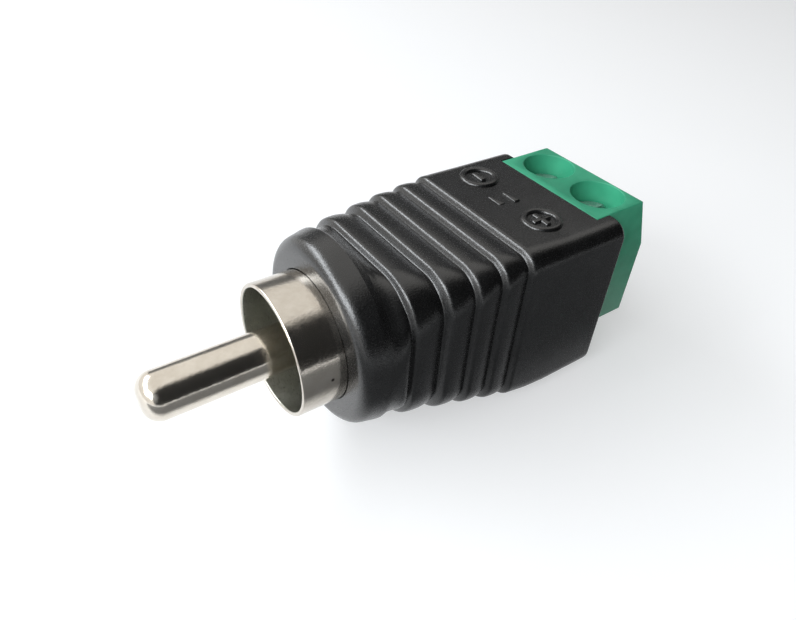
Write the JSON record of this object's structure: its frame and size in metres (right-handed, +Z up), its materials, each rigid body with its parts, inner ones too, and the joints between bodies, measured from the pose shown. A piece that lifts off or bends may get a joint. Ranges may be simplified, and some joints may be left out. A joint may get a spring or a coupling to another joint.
{
  "type": "rca connector",
  "caption": "Phono plug with a nickel pin and earth shell in a ribbed black housing, and a green screw terminal at its back for bare wires.",
  "frame": {"origin": "on the plug's axis, in the plane of the shell's mouth", "axes": "+X from the plug towards the terminal, +Z up through the screw heads, +Y towards the negative pole"},
  "size_m": [0.0381, 0.0136, 0.015],
  "materials": {
    "black_plastic": "semi-gloss black with a fine grain",
    "nickel": "polished nickel plate",
    "green_plastic": "semi-gloss green nylon",
    "white_plastic": "matt white",
    "zinc": "zinc plate, slightly dull",
    "tinned_brass": "tin-plated brass",
    "copper": "bare copper strands",
    "red_insulation": "matt red",
    "black_insulation": "matt black",
    "solder": "bright solder"
  },
  "bodies": {
    "connector": {"housing": "black_plastic", "centre_pin": "nickel", "outer_shell": "nickel", "insulator": "white_plastic", "terminal_body": "green_plastic", "positive_contact": "tinned_brass", "negative_contact": "tinned_brass", "tip_conductor": "copper", "sleeve_conductor": "copper", "tip_insulation": "red_insulation", "sleeve_insulation": "black_insulation", "tip_solder": "solder", "sleeve_solder": "solder", "positive_solder": "solder", "negative_solder": "solder"},
    "screw_positive": {"positive_screw": "zinc"},
    "screw_negative": {"negative_screw": "zinc"},
    "cage_positive": {"positive_clamp": "zinc"},
    "cage_negative": {"negative_clamp": "zinc"}
  },
  "joints": [
    {"name": "positive_screw_turn", "type": "hinge", "parent": "connector", "child": "screw_positive", "pos_m": [0.02595, -0.00254, 0.003], "axis": [0, 0, -1], "range_deg": [0, 1440]},
    {"name": "positive_clamp_lift", "type": "slide", "parent": "connector", "child": "cage_positive", "axis": [0, 0, 1], "range_m": [0, 0.002]},
    {"name": "negative_screw_turn", "type": "hinge", "parent": "connector", "child": "screw_negative", "pos_m": [0.02595, 0.00254, 0.003], "axis": [0, 0, -1], "range_deg": [0, 1440]},
    {"name": "negative_clamp_lift", "type": "slide", "parent": "connector", "child": "cage_negative", "axis": [0, 0, 1], "range_m": [0, 0.002]}
  ],
  "couplings": [
    {"joint": "positive_screw_turn", "follows": "positive_clamp_lift", "rad_per_m": 12566},
    {"joint": "negative_screw_turn", "follows": "negative_clamp_lift", "rad_per_m": 12566}
  ]
}
